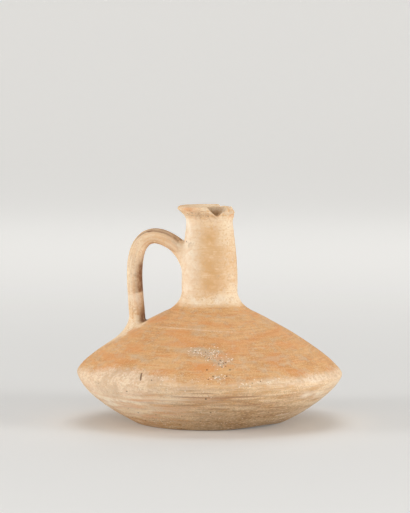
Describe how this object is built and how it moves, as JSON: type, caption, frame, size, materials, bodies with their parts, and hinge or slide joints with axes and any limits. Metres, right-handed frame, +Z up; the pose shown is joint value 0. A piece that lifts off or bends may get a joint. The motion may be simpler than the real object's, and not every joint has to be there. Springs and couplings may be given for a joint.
{
  "type": "terracotta jug",
  "caption": "Hand-thrown terracotta jug with a lens-shaped body, a tall narrow neck with a chipped flared lip, and one strap handle, for pouring liquids.",
  "frame": {"origin": "middle of the flat foot, on the surface the jug stands on", "axes": "+Z up along the neck's axis, the handle towards -X"},
  "size_m": [0.2288, 0.2288, 0.187],
  "materials": {
    "slip_clay": "matt orange-tan slip with faint horizontal burnish lines",
    "scraped_clay": "matt scraped clay with pale lime crust near the ridge",
    "neck_clay": "matt cream to tan clay",
    "luting_clay": "matt pale clay, smoothed by hand",
    "strap_clay": "matt cream clay with brown stains"
  },
  "bodies": {
    "root": {"lower_bowl": "scraped_clay", "shoulder": "slip_clay", "seam_luting": "luting_clay", "neck": "neck_clay", "neck_luting": "luting_clay", "handle": "strap_clay", "handle_top_luting": "luting_clay", "handle_foot_luting": "luting_clay"}
  },
  "joints": []
}
